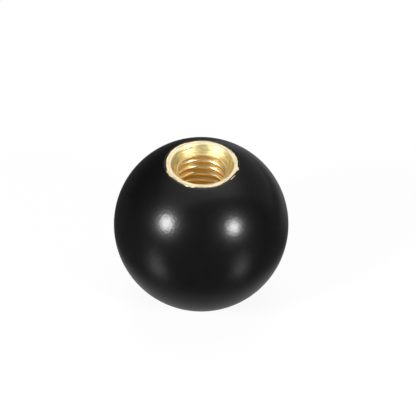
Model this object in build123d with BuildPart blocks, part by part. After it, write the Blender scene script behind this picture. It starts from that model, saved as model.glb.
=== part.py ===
from build123d import *
from math import ceil, pi, radians, sqrt, tan
import os

# Ball knob: a moulded ball with a knurled brass bush set in it, in millimetres.
# The origin is the centre of the end face, and +Z leaves the hole along the thread's axis.

# Ball
ball_diameter = 32.0
end_ring = 0.314  # moulded ring left around the bush on the end face
edge_rounding = 1.3  # radius that softens the obtuse edge round the end face

# Outside of the bush
knurl_diameter = 13.6  # over the tips of the teeth
knurl_depth = 0.35
knurl_pitch = 1.75  # from tooth to tooth round the tips
knurl_angle = 90.0  # of the V between two teeth
collar_height = 0.5  # plain ring between the end face and the knurl
groove_width = 2.4  # waist that keeps the bush from being pulled out
groove_depth = 0.9
tail_chamfer = 0.8

# Hole in the bush
mouth_diameter = 11.2
countersink_angle = 75.0
core_diameter = 8.6  # tapping hole of M10 x 1.5, within its limits of 8.38 and 8.68
core_depth = 14.0  # from the end face to where the drill's point starts
drill_point_angle = 118.0
bush_floor = 2.0  # brass left under the drill's point

# Derived sizes
ball_radius = ball_diameter / 2
knurl_radius = knurl_diameter / 2
collar_radius = knurl_radius - knurl_depth
face_radius = collar_radius + end_ring
ball_centre = -sqrt(ball_radius**2 - face_radius**2)
ball_crown = ball_centre - ball_radius
core_radius = core_diameter / 2
mouth_radius = mouth_diameter / 2
countersink_depth = (mouth_radius - core_radius) / tan(radians(countersink_angle / 2))
point_depth = core_depth + core_radius / tan(radians(drill_point_angle / 2))
bush_length = point_depth + bush_floor
tooth_count = ceil(pi * knurl_diameter / knurl_pitch)
groove_middle = -(collar_height + bush_length - tail_chamfer) / 2
gap_reach = 2 * knurl_depth  # past the tips, so that each V is cut through
gap_half_width = gap_reach * tan(radians(knurl_angle / 2))

# Outside of the bush, without its hole. The same form shapes the seat in the ball.
with BuildPart() as bush_form:
    with BuildSketch(Plane.XZ):
        with BuildLine():
            Polyline(
                (0, 0),
                (collar_radius, 0),
                (collar_radius, -collar_height),
                (knurl_radius, -collar_height),
                (knurl_radius, tail_chamfer - bush_length),
                (knurl_radius - tail_chamfer, -bush_length),
                (0, -bush_length),
                close=True,
            )
        make_face()
        with Locations((knurl_radius, groove_middle)):
            Rectangle(2 * groove_depth, groove_width, mode=Mode.SUBTRACT)
    revolve(axis=Axis.Z)
    with BuildSketch(Plane.XY.offset(-collar_height)):
        with PolarLocations(collar_radius, tooth_count):
            Polygon((0, 0), (gap_reach, gap_half_width), (gap_reach, -gap_half_width), align=None)
    extrude(amount=-bush_length, mode=Mode.SUBTRACT)

# Ball, moulded round the bush
with BuildPart() as ball:
    with Locations((0, 0, ball_centre)):
        Sphere(ball_radius)
    split(bisect_by=Plane.XY, keep=Keep.BOTTOM)
    fillet(ball.faces().sort_by(Axis.Z)[-1].edges(), edge_rounding)
    add(bush_form.part, mode=Mode.SUBTRACT)

# Bush, with a countersunk mouth and a blind tapping hole
with BuildPart() as threaded_bush:
    add(bush_form.part)
    with BuildSketch(Plane.XZ):
        with BuildLine():
            Polyline(
                (0, 0),
                (mouth_radius, 0),
                (core_radius, -countersink_depth),
                (core_radius, -core_depth),
                (0, -point_depth),
                close=True,
            )
        make_face()
    revolve(axis=Axis.Z, mode=Mode.SUBTRACT)

ball.part.label = "ball"
threaded_bush.part.label = "threaded_bush"

os.makedirs("parts", exist_ok=True)
export_step(ball.part, "parts/ball.step")
export_step(threaded_bush.part, "parts/threaded_bush.step")
print("height over the end face", round(-ball_crown, 3), "bush length", round(bush_length, 3), "teeth", tooth_count)
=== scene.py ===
from math import atan2, ceil, cos, hypot, pi, radians, sin, sqrt, tan
from time import time

import bmesh
import bpy
from mathutils import Matrix, Vector


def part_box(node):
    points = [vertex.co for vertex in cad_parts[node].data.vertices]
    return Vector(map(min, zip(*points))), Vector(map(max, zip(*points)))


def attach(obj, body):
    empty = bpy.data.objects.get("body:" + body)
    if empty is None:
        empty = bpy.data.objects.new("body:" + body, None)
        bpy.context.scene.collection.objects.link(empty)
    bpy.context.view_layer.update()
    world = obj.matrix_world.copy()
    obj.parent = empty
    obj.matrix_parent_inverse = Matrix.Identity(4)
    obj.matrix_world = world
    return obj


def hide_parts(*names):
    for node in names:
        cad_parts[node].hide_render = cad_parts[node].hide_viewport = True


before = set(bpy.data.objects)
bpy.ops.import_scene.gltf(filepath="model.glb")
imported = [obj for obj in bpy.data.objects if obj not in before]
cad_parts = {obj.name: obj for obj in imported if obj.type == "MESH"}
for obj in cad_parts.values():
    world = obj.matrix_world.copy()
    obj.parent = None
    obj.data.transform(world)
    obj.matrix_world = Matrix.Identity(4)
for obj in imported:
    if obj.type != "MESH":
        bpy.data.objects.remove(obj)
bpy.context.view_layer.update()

mm = 0.001
turn = 2 * pi
tiny = 0.0005 * mm  # points closer than this are one point
scene = bpy.context.scene
started = time()

# What the frame says: the ball's size and place, and how wide and deep its bush is.
ballLow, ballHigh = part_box("ball")
bushLow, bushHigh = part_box("threaded_bush")
ballRadius = (ballHigh.y - ballLow.y) / 2
ballMiddle = ballLow.z + ballRadius
knurlRadius = (bushHigh.y - bushLow.y) / 2
bushEnd = bushLow.z
print("frame read: ball radius", round(ballRadius / mm, 3), "mm, bush length", round(-bushEnd / mm, 3), "mm")

bush = {
    "collarRadius": 6.45 * mm,
    "collarHeight": 0.5 * mm,
    "waistWidth": 2.4 * mm,
    "waistDepth": 0.9 * mm,
    "tailChamfer": 0.8 * mm,
    "teeth": 25,
    "toothAngle": radians(90),
    "mouthRadius": 5.6 * mm,
    "sinkDepth": 1.65 * mm,
    "lipWidth": 0.25 * mm,  # flatter lip at the countersink's foot
    "lipRise": 0.08 * mm,
    "coreRadius": 4.3 * mm,
    "coreDepth": 14.0 * mm,
    "drillAngle": radians(118),
    "edgeBreak": 0.04 * mm,  # softened outer edge of the end face
    "mouthBreak": 0.26 * mm,  # and its inner edge, into the countersink
    "mouthSegments": 4,
    "mouthShift": 0.12 * mm,  # the countersink is this far off the axis
    "sharpAngle": radians(30),
    "segments": 300,  # round the bush and the ball
}


def addChain(bm, points):
    chain = [bm.verts.new((r, 0, z)) for r, z in points]
    return chain + [bm.edges.new(pair) for pair in zip(chain, chain[1:])]


def spinRound(bm, geometry, rise=0.0):
    steps = bush["segments"]
    bmesh.ops.spin(bm, geom=geometry, cent=(0, 0, 0), axis=(0, 0, 1), dvec=(0, 0, rise / steps),
                   angle=turn, steps=steps, use_merge=rise == 0, use_duplicate=False)


def radiusOf(vertex):
    return hypot(vertex.co.x, vertex.co.y)


def angleOf(vertex):
    return atan2(vertex.co.y, vertex.co.x)


def setRadius(vertex, radius):
    share = radius / radiusOf(vertex)
    vertex.co.x *= share
    vertex.co.y *= share


def softMax(a, b, width):
    blend = max(width - abs(a - b), 0)
    return max(a, b) + blend * blend / (4 * width)


def seatProfile():  # the bush's outside below its end face, from the collar down to the tail's middle
    collar, height = bush["collarRadius"], bush["collarHeight"]
    chamfer = bush["tailChamfer"]
    waistMiddle = (bushEnd + chamfer - height) / 2
    waistTop = waistMiddle + bush["waistWidth"] / 2
    waistFoot = waistMiddle - bush["waistWidth"] / 2
    waist = knurlRadius - bush["waistDepth"]
    return [(collar, -height), (knurlRadius, -height), (knurlRadius, waistTop), (waist, waistTop),
            (waist, waistFoot), (knurlRadius, waistFoot), (knurlRadius, bushEnd + chamfer),
            (knurlRadius - chamfer, bushEnd), (0, bushEnd)]


def cutTeeth(bm):  # V grooves between the teeth, in the bush and in its seat
    collar = bush["collarRadius"]
    for vertex in bm.verts:
        radius = radiusOf(vertex)
        onKnurl = bushEnd - tiny < vertex.co.z < tiny - bush["collarHeight"]
        if onKnurl and collar + tiny < radius < knurlRadius + tiny:
            share = angleOf(vertex) / turn * bush["teeth"]
            away = abs(share - round(share)) / bush["teeth"] * turn * knurlRadius
            setRadius(vertex, min(radius, collar + away / tan(bush["toothAngle"] / 2)))


# Brass that the facing cut smeared or tore at the rim: middle and half width in degrees, reach in mm
rimBurrs = [(205, 8, 0.26), (250, 10, 0.33), (349, 5, 0.35), (22, 18, 0.10), (138, 21, 0.10),
            (62, 14, -0.06), (228, 13, -0.08), (267, 7, -0.07), (329, 9, -0.1)]
rimTear = {
    "lipReach": 0.1 * mm,  # how far the moulding gives way, beyond which a burr lies over it
    "ragged": 0.2,  # share of a burr's reach that its edge wavers by
    "rags": 37,  # in one turn
    "squareness": 8,  # how abruptly a burr begins and ends
}


def tearRim(bm, most):  # moves the collar's upper edge in and out
    near = 2 * bush["edgeBreak"]
    ragged = rimTear["ragged"]
    for vertex in bm.verts:
        radius = radiusOf(vertex)
        if vertex.co.z > -bush["collarHeight"] / 2 and abs(radius - bush["collarRadius"]) < near:
            angle = angleOf(vertex) % turn
            shift = 0
            for middle, halfWidth, reach in rimBurrs:
                away = abs(angle - radians(middle)) / radians(halfWidth)
                wave = 1 - ragged + ragged * sin(rimTear["rags"] * angle + middle)
                shift += reach * mm * wave * max(1 - away ** rimTear["squareness"], 0)
            setRadius(vertex, radius + min(shift, most))


def finishPiece(bm, name, sharpAngle):
    bmesh.ops.remove_doubles(bm, verts=bm.verts, dist=tiny)
    bmesh.ops.dissolve_degenerate(bm, dist=tiny, edges=bm.edges)
    bmesh.ops.recalc_face_normals(bm, faces=bm.faces)
    for face in bm.faces:
        face.smooth = True
    for edge in bm.edges:
        edge.smooth = edge.calc_face_angle(pi) < sharpAngle
    loose = sum(not edge.is_manifold for edge in bm.edges)
    triangles = sum(len(face.verts) - 2 for face in bm.faces)
    print(name, triangles, "triangles,", loose, "open edges,", round(bm.calc_volume() / mm ** 3), "mm3,",
          round(time() - started, 1), "s")
    mesh = bpy.data.meshes.new(name)
    bm.to_mesh(mesh)
    bm.free()
    piece = bpy.data.objects.new(name, mesh)
    scene.collection.objects.link(piece)
    return piece


thread = {
    "pitch": 1.5 * mm,
    "rootRadius": 5.0 * mm,
    "rootFlat": 1 / 8,  # of the pitch
    "flankAngle": radians(60),
    "depth": 12.5 * mm,  # where the tap's last full turn ends
    "startAngle": radians(276),  # where a groove's middle passes z = 0
    "rounding": 0.22 * mm,  # of the edges between grooves and core
    "rows": 18,  # of the mesh in one pitch
    "runOut": 0.65,  # how fast the last turn fades
    "leadDepth": 2.1 * mm,  # above this the first turn fades in
    "leadIn": 2.1,  # how fast it does
}


def threadRadius(angle, z):  # how far the tap reached
    pitch = thread["pitch"]
    turns = z / pitch - (angle - thread["startAngle"]) / turn
    away = abs(turns - round(turns)) * pitch
    flank = thread["rootRadius"] + (pitch * thread["rootFlat"] / 2 - away) / tan(thread["flankAngle"] / 2)
    runOut = thread["rootRadius"] + (z + thread["depth"]) * thread["runOut"]
    leadIn = thread["rootRadius"] - (z + thread["leadDepth"]) * thread["leadIn"]
    return min(flank, thread["rootRadius"], runOut, leadIn)


def turnBush(top, bottom):  # all of it but the wall that is tapped, from top to bottom
    bm = bmesh.new()
    collar, rim = bush["collarRadius"], bush["edgeBreak"]
    mouth, core = bush["mouthRadius"], bush["coreRadius"]
    point = bottom - core / tan(bush["drillAngle"] / 2)
    lip = (core + bush["lipWidth"], top + bush["lipRise"])
    face = [(core, top), lip, (mouth, 0), (collar - rim, 0), (collar, -rim)]
    spinRound(bm, addChain(bm, face + seatProfile()))
    spinRound(bm, addChain(bm, [(core, bottom), (0, point)]))
    cutTeeth(bm)
    bmesh.ops.remove_doubles(bm, verts=bm.verts, dist=tiny)
    mouthEdges = [edge for edge in bm.edges
                  if all(vertex.co.z > -tiny and radiusOf(vertex) < mouth + tiny for vertex in edge.verts)]
    bmesh.ops.bevel(bm, geom=mouthEdges, offset=bush["mouthBreak"], segments=bush["mouthSegments"],
                    profile=0.5, affect="EDGES", material=-1)
    tearRim(bm, knurlRadius - collar)
    for vertex in bm.verts:
        if vertex.co.z > top + tiny and radiusOf(vertex) < mouth + 2 * bush["mouthBreak"]:
            vertex.co.x += bush["mouthShift"] * (1 - vertex.co.z / top)
    print("bush turned,", round(time() - started, 1), "s")
    return bm


def tapWall(top, bottom):  # the core's wall with its thread, spun as one endless strip and then cut to length
    core, pitch, rows = bush["coreRadius"], thread["pitch"], thread["rows"]
    shift = pitch * (1 - thread["startAngle"] / turn)
    tapped = bmesh.new()
    onePitch = [(core, shift - pitch * row / rows) for row in range(rows + 1)]
    spinRound(tapped, addChain(tapped, onePitch), pitch)
    oneTurn = tapped.verts[:] + tapped.edges[:] + tapped.faces[:]
    for number in range(1, ceil(-bottom / pitch) + 2):
        copied = bmesh.ops.duplicate(tapped, geom=oneTurn)["geom"]
        lowered = [part for part in copied if isinstance(part, bmesh.types.BMVert)]
        bmesh.ops.translate(tapped, verts=lowered, vec=(0, 0, -pitch * number))
    bmesh.ops.remove_doubles(tapped, verts=tapped.verts, dist=tiny)
    print("thread spun,", round(time() - started, 1), "s")
    for vertex in tapped.verts:
        angle = angleOf(vertex)
        z = min(max(vertex.co.z, bottom), top)
        radius = softMax(core, threadRadius(angle, z), thread["rounding"]) if bottom < z < top else core
        vertex.co = (radius * cos(angle), radius * sin(angle), z)
    mesh = bpy.data.meshes.new("tapped")
    tapped.to_mesh(mesh)
    tapped.free()
    return mesh


# A sliver that broke off the knurl and was pressed into the moulding
strayTooth = {
    "angle": radians(326.5),
    "radius": 6.66 * mm,
    "length": 1.5 * mm,
    "width": 0.2 * mm,
    "depth": 0.3 * mm,
    "intoCountersinkShade": 0.004 * mm,  # how far it lies under the end face
    "sides": 10,
}


def addStrayTooth(bm):
    tooth = strayTooth
    middle = Matrix.Translation((tooth["radius"], 0, -tooth["depth"] / 2 - tooth["intoCountersinkShade"]))
    place = Matrix.Rotation(tooth["angle"], 4, "Z") @ middle
    shape = Matrix.Diagonal((tooth["width"], tooth["length"], tooth["depth"], 1))
    bmesh.ops.create_cone(bm, cap_ends=True, segments=tooth["sides"], radius1=0.5, radius2=0.5, depth=1,
                          matrix=place @ shape)


def makeBush():
    top = -bush["sinkDepth"]
    bottom = -bush["coreDepth"]
    bm = turnBush(top, bottom)
    wall = tapWall(top, bottom)
    bm.from_mesh(wall)
    bpy.data.meshes.remove(wall)
    addStrayTooth(bm)
    return finishPiece(bm, "threadedBush", bush["sharpAngle"])


ball = {
    "rimDrop": 0.03 * mm,  # the moulding ends this far under the brass
    "moatDepth": 0.16 * mm,  # where it shrank from the brass
    "rimBreak": 0.03 * mm,
    "rimSegments": 3,
    "sharpAngle": radians(50),
    "rings": 96,  # from the pole to the rim
}


def makeBall():
    bm = bmesh.new()
    rimHeight = -ballMiddle - ball["rimDrop"]
    rimRadius = sqrt(ballRadius ** 2 - rimHeight ** 2)
    pole = bm.verts.new((0, 0, ballLow.z))
    swing = pi - atan2(rimRadius, rimHeight)
    bmesh.ops.spin(bm, geom=[pole], cent=(0, 0, ballMiddle), axis=(0, -1, 0), dvec=(0, 0, 0),
                   angle=swing, steps=ball["rings"], use_merge=False, use_duplicate=False)
    rim = max(bm.verts, key=lambda vertex: vertex.co.z)
    seat = addChain(bm, [(bush["collarRadius"], -ball["moatDepth"])] + seatProfile())
    bm.edges.new((rim, seat[0]))
    spinRound(bm, bm.verts[:] + bm.edges[:])
    cutTeeth(bm)
    bmesh.ops.remove_doubles(bm, verts=bm.verts, dist=tiny)
    rimFloor = -ball["rimDrop"] - tiny
    rimEdges = [edge for edge in bm.edges if all(vertex.co.z > rimFloor for vertex in edge.verts)]
    bmesh.ops.bevel(bm, geom=rimEdges, offset=ball["rimBreak"], segments=ball["rimSegments"], profile=0.5,
                    affect="EDGES", material=-1)
    tearRim(bm, rimTear["lipReach"])
    return finishPiece(bm, "mouldedBall", ball["sharpAngle"])


class Value:  # a socket in a sum, so that shader maths reads as Python
    def __init__(self, graph, socket):
        self.graph = graph
        self.socket = socket

    def maths(self, operation, *others):
        return self.graph.add("ShaderNodeMath", {"operation": operation}, dict(enumerate((self, *others))))

    def __add__(self, other):
        return self.maths("ADD", other)

    def __mul__(self, other):
        return self.maths("MULTIPLY", other)

    def __sub__(self, other):
        return self.maths("SUBTRACT", other)

    def __truediv__(self, other):
        return self.maths("DIVIDE", other)

    def __rsub__(self, other):
        return self.graph.add("ShaderNodeMath", {"operation": "SUBTRACT"}, {0: other, 1: self})

    __radd__ = __add__
    __rmul__ = __mul__

    def clamp(self):
        return self.graph.add("ShaderNodeClamp", {}, {"Value": self})

    def between(self, low, high):  # 0 below low, 1 above high, eased
        values = {"Value": self, "From Min": low, "From Max": high}
        return self.graph.add("ShaderNodeMapRange", {"interpolation_type": "SMOOTHSTEP"}, values)


class Graph:
    def __init__(self, owner):
        owner.use_nodes = True
        self.owner = owner
        self.tree = owner.node_tree

    def feed(self, socket, value):
        if isinstance(value, Value):
            self.tree.links.new(value.socket, socket)
        else:
            socket.default_value = value

    def add(self, kind, settings, inputs, output=0):
        node = self.tree.nodes.new(kind)
        for name, setting in settings.items():
            setattr(node, name, setting)
        for name, value in inputs.items():
            self.feed(node.inputs[name], value)
        return Value(self, node.outputs[output])

    def set(self, nodeName, inputs):
        for name, value in inputs.items():
            self.feed(self.tree.nodes[nodeName].inputs[name], value)

    def split(self, vector):
        return [self.add("ShaderNodeSeparateXYZ", {}, {0: vector}, axis) for axis in "XYZ"]

    def combine(self, x, y, z):
        return self.add("ShaderNodeCombineXYZ", {}, {"X": x, "Y": y, "Z": z})

    def noise(self, vector, scale, detail=2.0, roughness=0.5, w=None):
        settings = {"noise_dimensions": "3D" if w is None else "4D"}
        inputs = {"Vector": vector, "Scale": scale, "Detail": detail, "Roughness": roughness}
        if w is not None:
            inputs["W"] = w
        return self.add("ShaderNodeTexNoise", settings, inputs, "Fac")

    def mixColours(self, factor, first, second):
        inputs = {"Factor": factor, "A": first, "B": second}
        return self.add("ShaderNodeMix", {"data_type": "RGBA"}, inputs, "Result")

    def bump(self, height, distance):
        return self.add("ShaderNodeBump", {}, {"Height": height, "Distance": distance})


def grey(level):
    return (level, level, level, 1)


brass = {
    "faced": (0.93, 0.81, 0.54, 1),  # end face
    "paintedCountersinkShade": (0.72, 0.60, 0.29, 1),  # countersink: darker brass than the end face, painted shade
    "tapped": (0.98, 0.76, 0.37, 1),
    "paintedCrestHighlight": (1.0, 0.87, 0.52, 1),  # painted highlight: the thread's crests, left by the drill between its grooves, in a paler brass so that they look lit
    "crestHighlightFade": (0.1 * mm, 0.35 * mm),  # depths in a groove between which the painted crest highlight gives way to the thread's colour
    "faceFade": 0.3 * mm,  # how far down the mouth the end face's colour reaches before the countersink's painted shade takes over
    "threadFade": (-0.05 * mm, 0.15 * mm),  # below the countersink's foot, where the thread's finish sets in
    "roughness": 0.47,
    "threadRoughness": 0.32,
    "markRoughness": 0.1,  # how much the marks vary the roughness
    "grainRoughness": 0.06,
    "markSpacing": 0.34 * mm,
    "markHeight": 0.3 * mm,
    "markShare": 0.8,  # height of the marks beside that of the broad waves
    "markDrift": 1.2,  # how much the marks change in one turn
    "grainSize": 0.5 * mm,
    "grainColour": 0.3,  # how much of the countersink's colour the grain brings up
}


def makeBrass():
    graph = Graph(bpy.data.materials.new("turnedBrass"))
    place = graph.add("ShaderNodeTexCoord", {}, {}, "Object")
    x, y, z = graph.split(place)
    radius = (x * x + y * y).maths("SQRT")
    closeness = 1 / brass["markSpacing"]
    drift = brass["markDrift"]
    across = graph.combine(radius * closeness, z * closeness, x / radius * drift)
    marks = graph.noise(across, 1.0, 2.0, 0.6, w=y / radius * drift)
    broad = graph.noise(across, 0.3, 1.0, 0.5, w=y / radius * drift)
    grain = graph.noise(place, 1 / brass["grainSize"], 3.0)
    depth = 0 - z
    # Painted shade: going down the mouth, the end face's colour gives way to the countersink's darker one.
    intoCountersinkShade = depth.between(0.0, brass["faceFade"])
    tapped = depth.between(*[bush["sinkDepth"] + reach for reach in brass["threadFade"]])
    cut = graph.mixColours((intoCountersinkShade + grain * brass["grainColour"]).clamp(), brass["faced"], brass["paintedCountersinkShade"])
    # Painted highlight: the thread's crests get a paler brass than its grooves.
    pastCrestHighlight = radius.between(*[bush["coreRadius"] + reach for reach in brass["crestHighlightFade"]])
    wall = graph.mixColours(pastCrestHighlight, brass["paintedCrestHighlight"], brass["tapped"])
    height = (marks * brass["markShare"] + broad) * (1 - tapped)
    uneven = marks * brass["markRoughness"] + grain * brass["grainRoughness"]
    usual = (brass["markRoughness"] + brass["grainRoughness"]) / 2  # what uneven is on average
    graph.set("Principled BSDF", {
        "Base Color": graph.mixColours(tapped, cut, wall),
        "Metallic": 1.0,
        "Roughness": uneven + tapped * (brass["threadRoughness"] - brass["roughness"])
        + (brass["roughness"] - usual),
        "Normal": graph.bump(height, brass["markHeight"]),
    })
    return graph.owner


phenolic = {
    "black": (0.0025, 0.0025, 0.0028, 1),
    "dusty": (0.0050, 0.0050, 0.0054, 1),
    "polish": 0.215,  # roughness of the burnished moulding
    "haze": 0.36,  # roughness of the film that polishing left on it
    "thinHaze": 0.8,  # weight of that film where it is thinnest
    "ior": 1.335,
    "hazeIor": 1.222,
    "flowSize": 9 * mm,
    "dustSize": 0.25 * mm,
    "dustFade": (0.68, 0.78),  # how high the noise has to be for a speck
    "dustColour": 0.5,  # how far a speck takes the colour to dusty
    "dustRoughness": 0.1,
    "peelSize": 1.3 * mm,
    "peelShare": 0.2,  # height of the peel beside that of the pebbles
    "pebbleSize": 0.4 * mm,
    "pebbleHeight": 0.015 * mm,
}


def makePhenolic():
    graph = Graph(bpy.data.materials.new("mouldedPhenolic"))
    place = graph.add("ShaderNodeTexCoord", {}, {}, "Object")
    peel = graph.noise(place, 1 / phenolic["peelSize"], 2.0)
    pebbles = graph.noise(place, 1 / phenolic["pebbleSize"], 1.0)
    flow = graph.noise(place, 1 / phenolic["flowSize"], 3.0, 0.6)
    dust = graph.noise(place, 1 / phenolic["dustSize"], 2.0).between(*phenolic["dustFade"])
    pale = (flow + dust * phenolic["dustColour"]).clamp()
    graph.set("Principled BSDF", {
        "Base Color": graph.mixColours(pale, phenolic["black"], phenolic["dusty"]),
        "IOR": phenolic["ior"],
        "Roughness": dust * phenolic["dustRoughness"] + phenolic["polish"],
        "Coat Weight": flow * (1 - phenolic["thinHaze"]) + phenolic["thinHaze"],
        "Coat IOR": phenolic["hazeIor"],
        "Coat Roughness": phenolic["haze"],
        "Normal": graph.bump(pebbles + peel * phenolic["peelShare"], phenolic["pebbleHeight"]),
    })
    return graph.owner


for piece, node, slotName, material in ((makeBush(), "threaded_bush", "brass", makeBrass()),
                                        (makeBall(), "ball", "ball", makePhenolic())):
    piece.data.materials.append(material)
    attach(piece, "root")
    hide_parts(node)

view = {
    "elevation": radians(41.2),
    "distance": 450 * mm,
    "lens": 212.6,
    "roll": radians(0.75),  # the knob leans this far to the right
    "right": 1.25 * mm,  # how far the picture's middle is from the ball's
    "up": 2.97 * mm,
}


def makeCamera():
    lift = view["elevation"]
    back = Vector((0, -cos(lift), sin(lift)))
    turned = Matrix.Rotation(view["roll"], 3, back)
    right = turned @ Vector((1, 0, 0))
    up = turned @ Vector((0, sin(lift), cos(lift)))
    data = bpy.data.cameras.new("camera")
    data.lens = view["lens"]
    data.clip_start = 10 * mm
    camera = bpy.data.objects.new("camera", data)
    scene.collection.objects.link(camera)
    spot = Vector((0, 0, ballMiddle)) + right * view["right"] + up * view["up"] + back * view["distance"]
    camera.matrix_world = Matrix.Translation(spot) @ Matrix((right, up, back)).transposed().to_4x4()
    scene.camera = camera


# Direction from the ball, distance, diameter and brightness of each softbox
softboxes = {
    "leftSoftbox": ((-0.710, -0.518, 0.477), 600 * mm, 175 * mm, 48),
    "rightSoftbox": ((0.681, -0.587, 0.448), 600 * mm, 150 * mm, 51),
    "backSoftbox": ((0.0, 0.72, 0.69), 600 * mm, 420 * mm, 1.3),
}


def makeSoftbox(name, direction, distance, diameter, brightness):
    aim = Vector(direction).normalized()
    data = bpy.data.lights.new(name, "AREA")
    data.shape = "DISK"
    data.size = diameter
    data.energy = brightness * pi * pi * diameter ** 2 / 4
    lamp = bpy.data.objects.new(name, data)
    scene.collection.objects.link(lamp)
    lamp.location = Vector((0, 0, ballMiddle)) + aim * distance
    lamp.rotation_euler = aim.to_track_quat("Z", "Y").to_euler()


# Brightness of each part of the room, and how far to the side, back or up it fades in, as a direction's share
room = {
    "left": 0.0,  # walls
    "right": 0.04,
    "wallFade": (-0.8, 0.2),
    "ceiling": 0.62,  # over the middle
    "ceilingFade": (0.5, 1.0),
    "leftWing": -0.1,  # what the ceiling gains to each side
    "rightWing": 0.45,
    "wingFade": (0.1, 0.45),
    "rightCard": 0.15,
    "cardFade": (0.0, 0.6),
    "frontEdge": (-0.31, 0.86, 0.3),  # ceiling and card lie on this side of their front edge
    "edgeFade": (-0.03, 0.03),
    "skylight": 1.6,  # behind the zenith, where only the brass sees it
    "skylightSide": (0.03, 0.12),  # squares of the share
    "skylightBack": (0.03, 0.12),
    "skylightUp": (0.7, 0.9),
}


def makeRoom():
    world = bpy.data.worlds.new("room")
    scene.world = world
    graph = Graph(world)
    way = graph.add("ShaderNodeTexCoord", {}, {}, "Generated")
    x, y, z = graph.split(way)
    toEdge = {0: way, 1: room["frontEdge"]}
    facing = graph.add("ShaderNodeVectorMath", {"operation": "DOT_PRODUCT"}, toEdge, "Value")
    leftWing = (0 - x).between(*room["wingFade"]) * room["leftWing"]
    rightWing = x.between(*room["wingFade"]) * room["rightWing"]
    ceiling = z.between(*room["ceilingFade"]) * (leftWing + rightWing + room["ceiling"])
    card = x.between(*room["cardFade"]) * room["rightCard"]
    opening = (1 - (x * x).between(*room["skylightSide"])) * y.between(*room["skylightBack"])
    skylight = opening * z.between(*room["skylightUp"]) * room["skylight"]
    walls = x.between(*room["wallFade"]) * (room["right"] - room["left"]) + room["left"]
    level = facing.between(*room["edgeFade"]) * (ceiling + card) + skylight + walls
    seen = graph.add("ShaderNodeLightPath", {}, {}, "Is Camera Ray")
    graph.set("Background", {"Color": grey(1), "Strength": seen + (1 - seen) * level})


floor = {
    "level": ballLow.z,
    "halfSize": 2000 * mm,
    "pale": 0.9,
    "dark": 0.035,  # what the gloss shows of it
    "roughness": 0.33,
    "paper": 0.9,  # how much of plain white the camera sees
    "glow": 0.24,  # painted glow: light that the floor under the ball emits, seen in reflections only
    "glowFade": (14 * mm, 29 * mm),  # from the axis outwards
    "sideGlow": 0.2,  # painted glow in a strip behind the ball on the right, seen in reflections only
    "sideFade": (5 * mm, 40 * mm),  # backwards
    "sideEnd": (40 * mm, 70 * mm),  # to the right
    # painted glow far behind the ball, seen in reflections only
    "farGlow": 0.25,
    "farFade": (150 * mm, 350 * mm),
    "rightFade": (5 * mm, 25 * mm),  # where strip and far glow begin to the right
}


def makeFloor():
    bm = bmesh.new()
    bmesh.ops.create_grid(bm, x_segments=1, y_segments=1, size=floor["halfSize"],
                          matrix=Matrix.Translation((0, 0, floor["level"])))
    mesh = bpy.data.meshes.new("floor")
    bm.to_mesh(mesh)
    bm.free()
    sheet = bpy.data.objects.new("floor", mesh)
    scene.collection.objects.link(sheet)
    graph = Graph(bpy.data.materials.new("palePaper"))
    seen = graph.add("ShaderNodeLightPath", {}, {}, "Is Camera Ray")
    mirrored = graph.add("ShaderNodeLightPath", {}, {}, "Is Glossy Ray")
    graph.set("Principled BSDF", {
        "Base Color": graph.mixColours(mirrored, grey(floor["pale"]), grey(floor["dark"])),
        "Roughness": floor["roughness"],
    })
    x, y = graph.split(graph.add("ShaderNodeTexCoord", {}, {}, "Object"))[:2]
    # Painted glow: the floor emits white in reflections only, under the ball and behind it on the right.
    under = (1 - (x * x + y * y).maths("SQRT").between(*floor["glowFade"])) * floor["glow"]
    strip = (1 - x.between(*floor["sideEnd"])) * y.between(*floor["sideFade"]) * floor["sideGlow"]
    far = y.between(*floor["farFade"]) * floor["farGlow"]
    glow = under + x.between(*floor["rightFade"]) * (strip + far)
    white = graph.add("ShaderNodeEmission", {}, {"Color": grey(1)})
    lit = Value(graph, graph.tree.nodes["Principled BSDF"].outputs[0])
    whiteness = seen * floor["paper"] + mirrored * glow
    shown = graph.add("ShaderNodeMixShader", {}, {0: whiteness, 1: lit, 2: white})
    graph.set("Material Output", {"Surface": shown})
    sheet.data.materials.append(graph.owner)


makeCamera()
for name, settings in softboxes.items():
    makeSoftbox(name, *settings)
makeRoom()
makeFloor()
scene.view_settings.view_transform = "Standard"
scene.cycles.glossy_bounces = 12
print("studio set,", round(time() - started, 1), "s")
